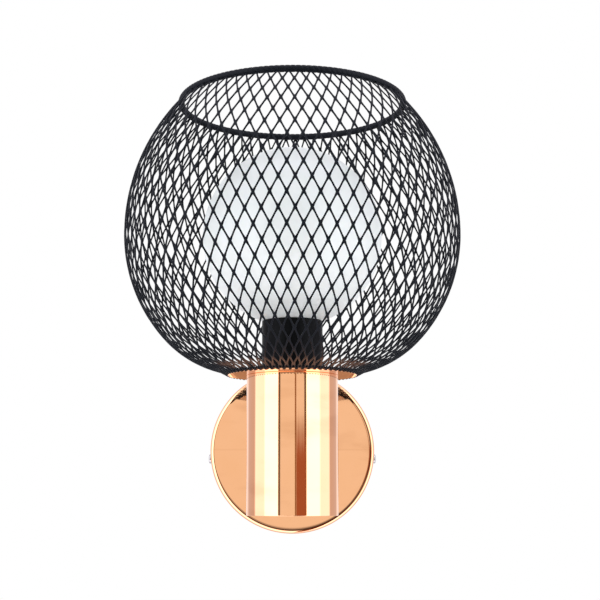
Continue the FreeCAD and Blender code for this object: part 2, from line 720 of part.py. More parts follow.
def lamp():
    """Opal globe on a neck, cemented into a screw cap, with its glazed ring and end contact."""
    inner_globe = "(globe_radius - glass_wall)"
    inner_neck = "(neck_radius - glass_wall)"
    collar_foot = CAP_TOP + " - collar_length"
    cap_outside = "(shell_radius - thread_gap)"
    turned("lamp_glass", [
        ("collar_radius", collar_foot),
        ("collar_radius", CAP_TOP),
        ("neck_radius", CAP_TOP + " + cone_height"),
        ("neck_radius", neck_meets_globe("neck_radius", "globe_radius"), "x", "0", 1),
        ("0", GLOBE + " + globe_radius"),
        ("0", "%s + %s" % (GLOBE, inner_globe), "x", "0", -1),
        (inner_neck, neck_meets_globe(inner_neck, inner_globe)),
        (inner_neck, CAP_TOP + " + cone_height"),
        ("collar_radius - glass_wall", CAP_TOP),
        ("collar_radius - glass_wall", collar_foot),
    ])
    turned("lamp_cap", [
        (cap_outside + " - cap_wall", CAP),
        (cap_outside, CAP),
        (cap_outside, CAP_TOP),
        (cap_outside + " - cap_wall", CAP_TOP),
    ])
    turned("lamp_insulator", [
        ("0", GLAZE),
        ("glaze_foot_radius", GLAZE),
        (cap_outside + " - cap_wall", CAP),
        (cap_outside + " - cap_wall - fit_gap", CAP),
        (cap_outside + " - cap_wall - fit_gap", CAP + " + glaze_seat"),
        ("0", CAP + " + glaze_seat"),
    ])
    turned("lamp_contact", [
        ("0", TIP),
        ("tip_face_radius", TIP),
        ("tip_radius", TIP + " + tip_height / 2"),
        ("tip_radius", GLAZE),
        ("0", GLAZE),
    ])
    inside = "collar_radius - glass_wall - fit_gap"
    turned("lamp_stem", [
        ("0", collar_foot),
        (inside, collar_foot),
        (inside, collar_foot + " + glass_wall"),
        ("mount_radius", collar_foot + " + mount_foot"),
        ("mount_radius", CAP_TOP + " + mount_height"),
        ("0", CAP_TOP + " + mount_height + mount_radius / 2"),
    ])
    strips = []
    count = int(value("strip_count"))
    for index in range(count):
        angle = 2 * math.pi * (index + 0.5) / count
        x = "%.6f * strip_circle" % math.cos(angle)
        y = "%.6f * strip_circle - axis_reach" % math.sin(angle)
        at = (x, y, CAP_TOP + " + mount_foot + cone_height")
        strips.append(cylinder("strip_%d" % index, "strip_radius", "strip_length", at))
    part(group("lamp_strips", *strips), "lamp_strips")


# ---- basket ----

class CageOutline:
    """The basket's outline: three arcs that run into each other, from the foot up to the rim.

    The side arc and the shoulder arc meet level at the widest place. The foot arc carries on
    from the side arc's lower end until it reaches the foot's radius.
    """

    def __init__(self):
        self.widest = value("cage_radius")
        self.foot_arc = value("foot_arc")
        self.side_arc = value("side_arc")
        self.shoulder_arc = value("shoulder_arc")
        self.side_end = math.radians(value("side_angle"))
        self.foot_centre = (self.widest - self.side_arc
                            + (self.side_arc - self.foot_arc) * math.cos(self.side_end))
        self.foot_end = math.acos((value("cage_foot_radius") - self.foot_centre) / self.foot_arc)
        self.rim_end = math.acos((value("cage_rim_radius") - self.widest + self.shoulder_arc)
                                 / self.shoulder_arc)
        self.foot_length = self.foot_arc * (self.foot_end - self.side_end)
        self.side_length = self.side_arc * self.side_end
        self.length = self.foot_length + self.side_length + self.shoulder_arc * self.rim_end
        self.level = (value(FLANGE_TOP) + self.side_arc * math.sin(self.side_end)
                      + self.foot_arc * (math.sin(self.foot_end) - math.sin(self.side_end)))

    def point(self, along):
        """Radius, height and slope angle at a length along the outline from the foot."""
        if along < self.foot_length:
            angle = self.foot_end - along / self.foot_arc
            radius = self.foot_centre + self.foot_arc * math.cos(angle)
            drop = (self.side_arc - self.foot_arc) * math.sin(self.side_end)
            return radius, self.level - drop - self.foot_arc * math.sin(angle), -angle
        if along < self.foot_length + self.side_length:
            angle = self.side_end - (along - self.foot_length) / self.side_arc
            arc = self.side_arc
            return self.widest - arc + arc * math.cos(angle), self.level - arc * math.sin(angle), -angle
        angle = (along - self.foot_length - self.side_length) / self.shoulder_arc
        arc = self.shoulder_arc
        return self.widest - arc + arc * math.cos(angle), self.level + arc * math.sin(angle), angle


def cage_lattice(curve):
    """Rows of lattice points from foot to rim, every second row turned by half a cell."""
    around = int(value("cell_count"))
    rows = int(value("cell_rows"))
    hem = value("hem")
    axis = FreeCAD.Vector(0, -value("axis_reach"), 0)

    def ring(along, shift):
        radius, height, _ = curve.point(along)
        turns = [2 * math.pi * (index + shift) / around for index in range(around)]
        return [axis + FreeCAD.Vector(radius * math.sin(turn), -radius * math.cos(turn), height)
                for turn in turns]

    step = (curve.length - 2 * hem) / rows
    lattice = [ring(hem + step * row, (row % 2) / 2) for row in range(rows + 1)]
    foot = ring(0, 0)
    rim = ring(curve.length, (rows % 2) / 2)
    return foot, lattice, rim


def cells_of(lattice):
    """Every opening's place round the basket and its corner points in order.

    The openings are diamonds, and half diamonds at both edges.
    """
    around = len(lattice[0])
    last = len(lattice) - 1
    for row in range(last + 1):
        odd = row % 2
        for index in range(around):
            left = lattice[row][index]
            right = lattice[row][(index + 1) % around]
            above = lattice[row + 1][(index + odd) % around] if row < last else None
            below = lattice[row - 1][(index + odd) % around] if row > 0 else None
            yield index, [corner for corner in (below, right, above, left) if corner is not None]


def opening_in(corners, half_width):
    """The corners drawn in towards their middle, until the strands have their half width."""
    middle = FreeCAD.Vector()
    for corner in corners:
        middle += corner * (1 / len(corners))
    count = len(corners)
    gaps = []
    for index in range(count):
        start = corners[index]
        side = corners[(index + 1) % count] - start
        gaps.append(side.cross(middle - start).Length / side.Length)
    share = 1 - half_width / min(gaps)
    return [middle + (corner - middle) * share for corner in corners]


def gore(cells, hems, inner):
    """One strip of the basket: its cells' strands, its hems, and a wall along its border.

    A wall stands on every side that belongs to one cell of the strip only.
    """
    faces = []
    sides = {}

    def flat(*points):
        faces.append(Part.Face(Part.makePolygon(list(points) + [points[0]])))

    def count_sides(corners):
        for start, end in zip(corners, corners[1:] + corners[:1]):
            key = frozenset((tuple(start), tuple(end)))
            sides[key] = None if key in sides else (start, end)

    for corners in cells:
        opening = opening_in(corners, value("strand_width") / 2)
        for index in range(len(corners)):
            follower = (index + 1) % len(corners)
            strand = (corners[index], corners[follower], opening[follower], opening[index])
            flat(*strand)
            flat(*[inner(point) for point in strand])
            flat(opening[index], opening[follower], inner(opening[follower]), inner(opening[index]))
        count_sides(corners)
    for hem in hems:
        flat(*hem)
        flat(*[inner(point) for point in hem])
        count_sides(hem)
    for start, end in filter(None, sides.values()):
        flat(start, end, inner(end), inner(start))
    shell = Part.Compound(faces)
    shell.sewShape(1e-5)
    solid = Part.Solid(shell if shell.ShapeType == "Shell" else shell.Shells[0])
    if solid.Volume < 0:
        solid.reverse()
    return solid


def cage_mesh():
    """The expanded-metal basket: flat-sided strands between diamond openings, in upright strips.

    Each strand's outer face is two flat faces that meet on the line between two knots. The
    inner faces are the outer ones drawn in towards one point on the axis, so the walls of every
    opening are flat too. The strips meet along the middle of the strands between them.
    """
    curve = CageOutline()
    foot, lattice, rim = cage_lattice(curve)
    centre = FreeCAD.Vector(0, -value("axis_reach"), curve.level)
    shrink = 1 - value("strand_thick") / curve.widest
    around = len(foot)
    gores = int(value("gore_count"))
    cells = [[] for _ in range(gores)]
    hems = [[] for _ in range(gores)]

    def inner(point):
        return centre + (point - centre) * shrink

    for index, corners in cells_of(lattice):
        cells[index * gores // around].append(corners)
    for edge, row in ((foot, lattice[0]), (rim, lattice[-1])):
        for index in range(around):
            follower = (index + 1) % around
            hems[index * gores // around].append([edge[index], edge[follower], row[follower], row[index]])
    strips = [gore(strip_cells, strip_hems, inner) for strip_cells, strip_hems in zip(cells, hems)]
    item = doc.addObject("Part::Feature", "cage_mesh")
    item.Shape = Part.Compound(strips)
    item.Placement = FreeCAD.Placement()
    part(item, "cage_mesh")
    return curve


def cage_rings(curve):
    """Wire ring on the basket's open edge, and the black disc welded inside its foot."""
    flat_side = math.cos(math.pi / value("cell_count"))
    radius, height, angle = curve.point(curve.length)
    half_thick = value("strand_thick") / 2
    rise = value("rim_wire") / 2 + value("weld_gap")
    ring = doc.addObject("Part::Torus", "cage_rim")
    ring.Radius1 = radius * flat_side - half_thick * math.cos(angle) - rise * math.sin(angle)
    bind(ring, Radius2="rim_wire / 2")
    place(ring, ("0", "-axis_reach", height - half_thick * math.sin(angle) + rise * math.cos(angle)))
    part(ring, "cage_rim")
    shrink = 1 - value("strand_thick") / curve.widest
    sheet_radius = value("cage_foot_radius") * shrink * flat_side - value("weld_gap")
    blank = doc.addObject("Part::Cylinder", "foot_blank")
    blank.Radius = sheet_radius
    bind(blank, Height="foot_thick")
    place(blank, ("0", "-axis_reach", FLANGE_TOP))
    hole = cylinder("foot_hole", "stem_radius + stem_play", "foot_thick", ("0", "-axis_reach", FLANGE_TOP))
    part(cut("cage_base", blank, hole), "cage_base")


# ---- leads ----

def lead(name, route, radius):
    """A round lead along straight runs that tangent arcs join, and its volume against its length."""
    points = [FreeCAD.Vector(*[value(formula) for formula in point]) for point in route]
    runs = [(after - before) for before, after in zip(points, points[1:])]
    edges = []
    start = points[0]
    for corner, before, after in zip(points[1:-1], runs, runs[1:]):
        turn = before.getAngle(after)
        trim = 0.45 * min(before.Length, after.Length)
        bend = trim / math.tan(turn / 2)
        entry = corner - before * (trim / before.Length)
        leave = corner + after * (trim / after.Length)
        inward = (after * (1 / after.Length) - before * (1 / before.Length))
        inward.normalize()
        crown = corner + inward * (bend / math.cos(turn / 2) - bend)
        edges.append(Part.LineSegment(start, entry).toShape())
        edges.append(Part.Arc(entry, crown, leave).toShape())
        start = leave
    edges.append(Part.LineSegment(start, points[-1]).toShape())
    path = Part.Wire(edges)
    section = Part.Wire([Part.Circle(points[0], runs[0], radius).toShape()])
    solid = path.makePipeShell([section], True, False)
    share = solid.Volume / (math.pi * radius * radius * path.Length)
    print("%s: %.1f mm long, volume %.4f of section times length" % (name, path.Length, share))
    item = doc.addObject("Part::Feature", name)
    item.Shape = solid
    item.Placement = FreeCAD.Placement()
    part(item, name)


def leads():
    """Live and neutral run from the strip through the rod to the insert, earth to its screw."""
    radius = value("wire_radius")
    top = "block_rise - block_height / 2 + wire_seat"
    bottom = "(%s - insert_drop)" % SHOULDER
    turn_up = "entry_offset - axis_reach"
    for name, pole, side in (("lead_live", "-pole_pitch", "-"), ("lead_neutral", "0", "")):
        lead(name, [
            (pole, "-pole_bore_depth", top),
            (pole, "-pole_bore_depth", top + " - lead_drop"),
            (side + "wire_spread", "lead_inset - pole_bore_depth", "lead_level"),
            (side + "wire_spread", "lead_inset - pole_bore_depth", "0"),
            (side + "wire_spread", turn_up, "0"),
            (side + "wire_spread * 2", turn_up, "lead_rise"),
            (side + "wire_spread * 2", turn_up, bottom + " + wire_seat - wire_end_gap"),
        ], radius)
    lead("lead_earth", [
        ("pole_pitch", "-pole_bore_depth", top),
        ("pole_pitch", "-pole_bore_depth", "block_rise * 0.3"),
        ("pole_pitch + earth_bow", "-pole_bore_depth", "-earth_drop * 0.1"),
        ("pole_pitch + earth_bow * 1.2", "-pole_bore_depth * 0.6", "-earth_drop * 0.66"),
        ("pole_pitch + earth_bow * 0.8", BARREL_DEPTH, "-earth_drop"),
        ("head_radius + barrel_clear + barrel_length * 0.25", BARREL_DEPTH, "-earth_drop"),
    ], radius)


def build():
    fill_sheet()
    mounting_plate()
    earth_point()
    connector_strip()
    canopy()
    canopy_screws()
    arm()
    arm_fasteners()
    body_tube()
    tube_ends()
    lampholder()
    lamp()
    cage_rings(cage_mesh())
    leads()
    doc.recompute()


def check():
    """Stops on a failed object, a null or broken shape, or a label that is used twice."""
    failed = [item.Name for item in doc.Objects if {"Invalid", "Error"} & set(item.State)]
    if failed:
        raise RuntimeError("failed objects: " + ", ".join(failed))
    for item in PARTS:
        if item.Shape.isNull() or not item.Shape.isValid() or not item.Shape.Solids:
            raise RuntimeError("bad shape: " + item.Label)
    labels = [item.Label for item in PARTS]
    if len(set(labels)) != len(labels):
        raise RuntimeError("a label is used twice")


def export():
    os.makedirs("parts", exist_ok=True)
    for item in PARTS:
        item.Shape.exportStep("parts/%s.step" % item.Label)
        print("%-16s %d solid(s) %10.1f mm3" % (item.Label, len(item.Shape.Solids), item.Shape.Volume))


build()
check()
export()
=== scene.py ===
import math

import bmesh
import bpy
import numpy as np
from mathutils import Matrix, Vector


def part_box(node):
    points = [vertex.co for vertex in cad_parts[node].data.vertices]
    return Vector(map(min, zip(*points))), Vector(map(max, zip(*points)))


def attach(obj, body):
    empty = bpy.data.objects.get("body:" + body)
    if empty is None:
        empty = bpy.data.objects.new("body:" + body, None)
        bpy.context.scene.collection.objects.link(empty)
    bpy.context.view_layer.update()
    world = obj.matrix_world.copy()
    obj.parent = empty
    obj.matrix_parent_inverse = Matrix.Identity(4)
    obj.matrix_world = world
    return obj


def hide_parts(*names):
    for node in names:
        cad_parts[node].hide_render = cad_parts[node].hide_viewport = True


# Wall light: a black expanded-metal basket round an opal globe lamp, on polished copper.
# Sizes are in millimetres in the frame of the wall: X right, Y into the wall, Z up.

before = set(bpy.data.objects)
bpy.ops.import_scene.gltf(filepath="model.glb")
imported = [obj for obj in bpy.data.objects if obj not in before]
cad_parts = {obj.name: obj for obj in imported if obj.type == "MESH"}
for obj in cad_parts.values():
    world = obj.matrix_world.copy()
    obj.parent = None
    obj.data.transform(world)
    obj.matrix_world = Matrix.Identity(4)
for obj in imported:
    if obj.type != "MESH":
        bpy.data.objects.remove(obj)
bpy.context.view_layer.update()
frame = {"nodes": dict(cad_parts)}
nodes = frame["nodes"]


# ---- fixing plate ----
# Round steel plate with a strap, pressed in one and zinc plated. Two slots take the wall
# screws, and the strap's bent ends are tapped for the canopy's side screws.

class Signal:
    """A shader socket that can stand in a sum: each operator adds its Math node."""

    def __init__(self, nodes, socket):
        self.nodes = nodes
        self.socket = socket

    def beside(self, name):
        """Another output of the same node."""
        return Signal(self.nodes, self.socket.node.outputs[name])

    def sum(self, operation, first, second):
        return self.nodes.add("Math", {"operation": operation}, {0: first, 1: second})

    def __add__(self, other):
        return self.sum("ADD", self, other)

    def __mul__(self, other):
        return self.sum("MULTIPLY", self, other)

    def __sub__(self, other):
        return self.sum("SUBTRACT", self, other)

    def __rsub__(self, other):
        return self.sum("SUBTRACT", other, self)

    __radd__ = __add__
    __rmul__ = __mul__


class Nodes:
    """A node tree, and the one way in which nodes come into it."""

    def __init__(self, tree):
        self.tree = tree

    def add(self, kind, settings={}, sockets={}, output=0):
        """A node of this kind: first its settings, then a value or a link for each socket."""
        node = self.tree.nodes.new("ShaderNode" + kind)
        for name, value in settings.items():
            if name == "stops":
                while len(node.color_ramp.elements) < len(value):
                    node.color_ramp.elements.new(1.0)
                for element, (position, shade) in zip(node.color_ramp.elements, value):
                    element.position = position
                    element.color = (*shade, 1.0)
            else:
                setattr(node, name, value)
        for name, value in sockets.items():
            self.link(value, node.inputs[name])
        return Signal(self, node.outputs[output]) if node.outputs else None

    def link(self, value, socket):
        if isinstance(value, Signal):
            self.tree.links.new(value.socket, socket)
        else:
            socket.default_value = value

    def tone(self, factor, low, high):
        """A colour that goes from low to high as the factor goes from 0 to 1."""
        low, high = [shade if isinstance(shade, Signal) else (*shade, 1) for shade in (low, high)]
        return self.add("Mix", {"data_type": "RGBA"}, {0: factor, 6: low, 7: high}, 2)

    def ease(self, value, start, end):
        """Goes smoothly from 0 to 1 as the value goes from start to end."""
        return self.add("MapRange", {"interpolation_type": "SMOOTHSTEP"},
                        {"Value": value, "From Min": start, "From Max": end})


class Finish(Nodes):
    """A surface finish: a Principled shader with fixed sockets, and nodes for what varies."""

    def __init__(self, name, **fixed):
        self.material = bpy.data.materials.new(name)
        self.material.use_nodes = True
        super().__init__(self.material.node_tree)
        self.shader = self.tree.nodes["Principled BSDF"]
        for socket, value in fixed.items():
            self.shader.inputs[socket.replace("_", " ")].default_value = value
        self.spot = self.add("TexCoord", output="Object")

    def set(self, socket, value):
        self.link(value, self.shader.inputs[socket])
        return self

    def cloud(self, scale, detail, spot=None):
        """Soft noise from 0 to 1, with this many waves in a metre."""
        sockets = {"Vector": spot or self.spot, "Scale": scale, "Detail": detail}
        return self.add("TexNoise", {}, sockets)

    def stretched(self, x, y, z):
        """The place on the object with its three axes scaled, for brushed or drawn surfaces."""
        return self.add("Mapping", {}, {"Vector": self.spot, "Scale": (x, y, z)})

    def relief(self, height, depth, strength=1.0):
        """A bump of this depth in millimetres."""
        sockets = {"Height": height, "Distance": depth / 1000, "Strength": strength}
        return self.set("Normal", self.add("Bump", {}, sockets))

    def cover(self, *things):
        for thing in things:
            for slot in thing.material_slots:
                slot.material = self.material
            if not thing.material_slots:
                thing.data.materials.append(self.material)


zinc = Finish("zinc", Metallic=1.0)
drawn = zinc.cloud(90, 5, zinc.stretched(1, 6, 1))
zinc.set("Base Color", zinc.tone(drawn, (0.50, 0.51, 0.52), (0.70, 0.70, 0.68)))
zinc.set("Roughness", drawn * 0.25 + 0.24).relief(zinc.cloud(900, 3), 0.01)
zinc.cover(nodes["mounting_plate"])


# ---- screws and terminals on the plate ----
# Brass earth screw with its ring tag, and a nylon connector strip with six brass clamp
# screws, held by one zinc-plated screw. All have slotted heads.

EARTH_SCREW_PLACE = (0.0, -30.0)
CLAMP_COLUMNS = (-9.0, 0.0, 9.0)
CLAMP_LEVELS = (27.0, 35.0)
BLOCK_SCREW_PLACE = (4.5, 31.0)


def surface(name, points, wrap=(True, True)):
    """A skin over a grid of points in millimetres, shape (rows, columns, 3).

    Neighbouring points make quads, and the grid runs on into its first row and column where
    wrap says so. Points that fall together are merged, and the skin is turned outwards.
    """
    rows, columns = points.shape[:2]
    near = np.arange(rows * columns).reshape(rows, columns)
    beside = np.roll(near, -1, 1)
    quads = np.stack((near, beside, np.roll(beside, -1, 0), np.roll(near, -1, 0)), -1)
    quads = quads[:rows if wrap[0] else -1, :columns if wrap[1] else -1].reshape(-1, 4)
    return skin(name, points.reshape(-1, 3), quads)


def skin(name, points, faces):
    """An object from points in millimetres and faces, merged, turned outwards and smooth."""
    mesh = bpy.data.meshes.new(name)
    mesh.from_pydata((points / 1000).tolist(), [], faces.tolist())
    work = bmesh.new()
    work.from_mesh(mesh)
    bmesh.ops.remove_doubles(work, verts=work.verts, dist=1e-7)
    bmesh.ops.recalc_face_normals(work, faces=work.faces)
    work.to_mesh(mesh)
    work.free()
    mesh.polygons.foreach_set("use_smooth", np.ones(len(mesh.polygons), bool))
    thing = bpy.data.objects.new(name, mesh)
    bpy.context.scene.collection.objects.link(thing)
    return thing


def screw(name, tip, along, way, head, height, shank, length, cross=False):
    """A screw whose head's top centre is tip and whose shank runs along an axis, + or - way.

    The head's top is a dome, height * (1 - 0.35 (r / head)^4), less a slot or a cross that is
    pressed in where the distance from its middle line is small.
    """
    turn = np.linspace(0, 2 * np.pi, 64, endpoint=False)
    top = np.linspace(0, 0.97, 24) * head
    radius = np.concatenate((top, [head, head, head * 0.98, shank, shank, shank * 0.8, 0]))
    depth = np.concatenate((0.35 * height * (top / head) ** 4,
                            [0.45 * height, 0.95 * height, height, height,
                             height + length * 0.93, height + length, height + length]))
    across, upright = radius[:, None] * np.sin(turn), radius[:, None] * np.cos(turn)
    half, end = head * 0.13, head * (0.55 if cross else 2.0)

    def slot_and_painted_groove_shade(u, v):
        inside = np.clip((half - np.abs(u)) / (half * 0.6), 0, 1)
        inside = inside * np.clip((end - np.abs(v)) / half, 0, 1)
        return inside * inside * (3 - 2 * inside)

    cut = slot_and_painted_groove_shade(across, upright)
    if cross:
        cut = np.maximum(cut, slot_and_painted_groove_shade(upright, across))
    on_top = (np.arange(len(radius)) <= len(top))[:, None]
    depth = depth[:, None] + np.where(on_top, cut * height * 0.45, 0)
    order = {"x": (way * depth, across, upright), "y": (across, way * depth, upright)}[along]
    return surface(name, np.stack(order, -1) + np.array(tip), wrap=(False, True))


brass = Finish("brass", Metallic=1.0)
dulled = brass.cloud(160, 4)
brass.set("Base Color", brass.tone(dulled, (0.62, 0.40, 0.13), (0.80, 0.60, 0.28)))
brass.set("Roughness", dulled * 0.2 + 0.2).relief(brass.cloud(1200, 2), 0.008)
brass.cover(nodes["earth_tag"])

earth_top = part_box("earth_screw")[0].y * 1000
tip = (EARTH_SCREW_PLACE[0], earth_top, EARTH_SCREW_PLACE[1])
earth_screw = screw("earth_screw_slotted", tip, "y", 1,
                    head=3.5, height=2.0, shank=1.95, length=2.6)
brass.cover(earth_screw)
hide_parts("earth_screw")
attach(earth_screw, "root")

clamp_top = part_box("terminal_screws")[0].y * 1000
for number in range(len(CLAMP_COLUMNS) * len(CLAMP_LEVELS)):
    row, column = divmod(number, len(CLAMP_COLUMNS))
    tip = (CLAMP_COLUMNS[column], clamp_top, CLAMP_LEVELS[row])
    clamp_screw = screw("clamp_screw_%d" % number, tip, "y", 1,
                        head=1.8, height=0.9, shank=1.6, length=1.8)
    brass.cover(clamp_screw)
    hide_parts("terminal_screws")
    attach(clamp_screw, "root")

block_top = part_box("block_screw")[0].y * 1000
tip = (BLOCK_SCREW_PLACE[0], block_top, BLOCK_SCREW_PLACE[1])
block_screw = screw("block_screw_slotted", tip, "y", 1,
                    head=2.1, height=1.6, shank=1.45, length=8.3)
zinc.cover(block_screw)
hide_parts("block_screw")
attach(block_screw, "root")

nylon = Finish("nylon", Subsurface_Weight=0.15)
milky = nylon.cloud(120, 3)
nylon.set("Base Color", nylon.tone(milky, (0.80, 0.79, 0.75), (0.90, 0.90, 0.87)))
nylon.set("Roughness", milky * 0.15 + 0.38).relief(nylon.cloud(2500, 2), 0.01)
nylon.cover(nodes["terminal_block"])


# ---- canopy ----
# Spun copper-plated cup, polished bright. Two screws through its side hold it on the
# plate's tabs; their heads are pressed with a cross recess.

CANOPY_RADIUS = 62.7
CANOPY_FACE = -28.0
PAINTED_GROOVE_RADIUS = 60.0
ROD_HOLE = 5.2
PRESSED_WALL = 1.2
SIDE_SCREW_PLACE = (-11.0, -5.5)


def eased(corners, radius, steps=5):
    """A closed outline whose corners are bends of about this radius, or of a radius each.

    A bend is the quadratic curve that leaves along one side, arrives along the other and is
    drawn towards the corner. A short lead on both sides keeps the flats beside it flat.
    """
    corner = np.array(corners, float)
    back = np.roll(corner, 1, 0) - corner
    ahead = np.roll(corner, -1, 0) - corner
    back /= np.linalg.norm(back, axis=1, keepdims=True)
    ahead /= np.linalg.norm(ahead, axis=1, keepdims=True)
    opening = np.arccos(np.clip((back * ahead).sum(1), -1, 1))
    reach = (np.broadcast_to(radius, len(corner)) / np.tan(opening / 2))[:, None, None]
    share = np.linspace(0, 1, steps)[None, :, None]
    corner, back, ahead = corner[:, None], back[:, None], ahead[:, None]
    bend = corner + back * reach * (1 - share) ** 2 + ahead * reach * share ** 2
    lead = (corner + back * reach * 1.6, bend, corner + ahead * reach * 1.6)
    return np.concatenate(lead, 1).reshape(-1, 2)


def turned(name, outline, centre, along="z", steps=192):
    """A closed outline of (radius, distance) pairs carried round an axis through centre."""
    turn = np.linspace(0, 2 * np.pi, steps, endpoint=False)
    radius, distance = outline[:, :1], outline[:, 1:] + 0 * turn
    across, upright = radius * np.sin(turn), radius * np.cos(turn)
    order = {"z": (across, -upright, distance), "y": (across, distance, upright)}[along]
    return surface(name, np.stack(order, -1) + np.array(centre))


copper = Finish("polished_copper", Metallic=1.0)
smudge = copper.cloud(38, 4)
wiped = copper.cloud(26, 5, copper.stretched(1.0, 1.0, 0.35))
smeared = copper.ease(copper.cloud(34, 6, copper.stretched(0.6, 0.6, 1.7)), 0.50, 0.72)
plated = copper.tone(smudge, (0.93, 0.485, 0.245), (0.965, 0.53, 0.295))
plated = copper.tone(smeared * 0.26, plated, (0.60, 0.27, 0.12))

# On the canopy's face: a fine dark line of painted shade, standing for a groove near the edge,
# wider towards the lower right; and a faint hairline across the middle.
place = copper.add("SeparateXYZ", {}, {"Vector": copper.spot})
across = copper.add("CombineXYZ", {}, {"X": place, "Z": place.beside("Z")})
from_middle = copper.add("VectorMath", {"operation": "LENGTH"}, {0: across}, "Value")
off_ring = copper.add("Math", {"operation": "ABSOLUTE"}, {0: from_middle - PAINTED_GROOVE_RADIUS / 1000})
face = copper.ease(place.beside("Y"), -0.0295, -0.0285)
slot_and_painted_groove_shade = copper.ease(off_ring - (place - place.beside("Z")) * 0.004, 0.0007, 0.0003) * face
plated = copper.tone(slot_and_painted_groove_shade * 0.9, plated, (0.13, 0.055, 0.025))
hairline = place.beside("Z") - 0.0015 + smudge * 0.001
off_hairline = copper.add("Math", {"operation": "ABSOLUTE"}, {0: hairline})
streak = copper.ease(off_hairline, 0.0012, 0.0) * face * smudge
plated = copper.tone(streak * 0.25, plated, (0.60, 0.27, 0.12))

# On the flange's front edge: painted shade, a dark line under the basket's hooks.
painted_hook_shade = copper.ease(place.beside("Z"), 0.0484, 0.0488)
painted_hook_shade = painted_hook_shade * copper.ease(place.beside("Y"), -0.075, -0.080)
copper.set("Base Color", copper.tone(painted_hook_shade * 0.85, plated, (0.10, 0.03, 0.01)))
copper.set("Roughness", wiped * 0.06 + 0.015).relief(copper.cloud(14, 1), 0.05, 0.35)

canopy_wall = CANOPY_RADIUS - PRESSED_WALL
canopy_back = CANOPY_FACE + PRESSED_WALL
canopy_outline = eased([(ROD_HOLE, CANOPY_FACE), (CANOPY_RADIUS, CANOPY_FACE), (CANOPY_RADIUS, 0),
                        (canopy_wall, 0), (canopy_wall, canopy_back), (ROD_HOLE, canopy_back)],
                       [0.15, 4.2, 0.25, 0.15, 1.4, 0.15], 13)
canopy = turned("canopy_cup", canopy_outline, (0, 0, 0), "y", 320)
copper.cover(canopy)
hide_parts("canopy")
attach(canopy, "root")

bright = Finish("bright_steel", Metallic=1.0)
handled = bright.cloud(300, 4)
bright.set("Base Color", bright.tone(handled, (0.36, 0.35, 0.34), (0.56, 0.54, 0.52)))
bright.set("Roughness", handled * 0.12 + 0.1).relief(bright.cloud(1500, 2), 0.006)
screw_low, screw_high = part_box("side_screws")
for side, way, tip in (("left", 1, screw_low.x), ("right", -1, screw_high.x)):
    side_screw = screw("side_screw_" + side, (tip * 1000, *SIDE_SCREW_PLACE), "x", way,
                       head=3.5, height=2.0, shank=1.95, length=7.0, cross=True)
    bright.cover(side_screw)
    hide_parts("side_screws")
    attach(side_screw, "root")


# ---- arm ----
# Copper-plated sleeve, its far end coped to the upright tube, drawn tight by a hollow
# threaded rod with a nut at each end, a washer in the canopy and a saddle in the tube.

AXIS = (0.0, -125.0, 0.0)
TUBE_RADIUS = 31.5


def sleeve(name, outer, inner, start, reach, tube):
    """A tube along Y from start. At reach its end follows a round upright tube.

    The wall's outline is that in the middle plane. Its distances are stretched until the end
    is at reach + sqrt(tube^2 - x^2), where x is the point's distance from that plane.
    """
    turn = np.linspace(0, 2 * np.pi, 160, endpoint=False)
    length = start - reach - tube
    outline = eased([(outer, 0), (outer, length), (inner, length), (inner, 0)], 0.12)
    radius, along = outline[:, :1], outline[:, 1:]
    across = radius * np.sin(turn)
    end = reach + np.sqrt(tube * tube - across * across)
    depth = start + (end - start) * along / length
    return surface(name, np.stack((across, depth, radius * np.cos(turn)), -1))


arm_sleeve = sleeve("arm_sleeve", 9.0, 7.5, CANOPY_FACE, AXIS[1], TUBE_RADIUS)
copper.cover(arm_sleeve)
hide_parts("arm_tube")
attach(arm_sleeve, "root")


def threaded(name, crest, root, bore, ends, pitch, centre, along, rows):
    """A threaded tube between two ends, its thread running out half a pitch from each.

    The radius is root + (crest - root) * (1 + cos p) / 2, where the phase p is 2 pi times
    distance / pitch, less the turn. A pitch has this many rows of points. The bore is the
    radius of a plain hole, or below 1 the thickness of a rolled wall.
    """
    turn = np.linspace(0, 2 * np.pi, 96, endpoint=False)
    count = int((ends[1] - ends[0]) / pitch * rows)
    distance = np.linspace(ends[0], ends[1], count)[:, None] + 0 * turn
    wave = (1 + np.cos(2 * np.pi * distance / pitch - turn)) / 2
    near_end = np.minimum(distance - ends[0], ends[1] - distance) / (0.5 * pitch)
    outside = root + (crest - root) * wave * np.clip(near_end, 0, 1)
    if bore < 1:
        inside, depth = outside - bore, distance
    else:
        depth = distance[[0, 1, -2, -1]]
        inside = bore + 0 * depth
    radius = np.concatenate((outside, inside[::-1]))
    distance = np.concatenate((distance, depth[::-1]))
    across, upright = radius * np.sin(turn), radius * np.cos(turn)
    order = {"z": (across, -upright, distance), "y": (across, distance, upright)}[along]
    return surface(name, np.stack(order, -1) + np.array(centre))


rod_low, rod_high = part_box("arm_rod")
rod = threaded("arm_rod_threaded", 5.0, 4.45, 3.5, (rod_low.y * 1000, rod_high.y * 1000),
               pitch=1.0, centre=(0, 0, 0), along="y", rows=6)
zinc.cover(rod, nodes["arm_nuts"], nodes["arm_washer"], nodes["saddle"])
nylon.cover(nodes["rod_bushes"])
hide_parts("arm_rod")
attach(rod, "root")


# ---- upright tube, bottom cap and flange ----
# Copper-plated tube, polished, with a cap pressed into its bottom. The flange is a turned
# disc whose spigot sits in the tube's top; the basket stands on it.

TUBE_END = 48.0
TUBE_BORE = 30.0
CAP_FACE = -47.0
SPIGOT_RADIUS = 29.95
SPIGOT_LENGTH = 5.0
FLANGE_RADIUS = 44.7
FLANGE_TOP = TUBE_END + PRESSED_WALL
HOLDER_HOLE = 16.15

upright_tube = turned("upright_tube", eased([(TUBE_RADIUS, -TUBE_END), (TUBE_RADIUS, TUBE_END),
                                             (TUBE_BORE, TUBE_END), (TUBE_BORE, -TUBE_END)], 0.3),
                      AXIS, steps=320)

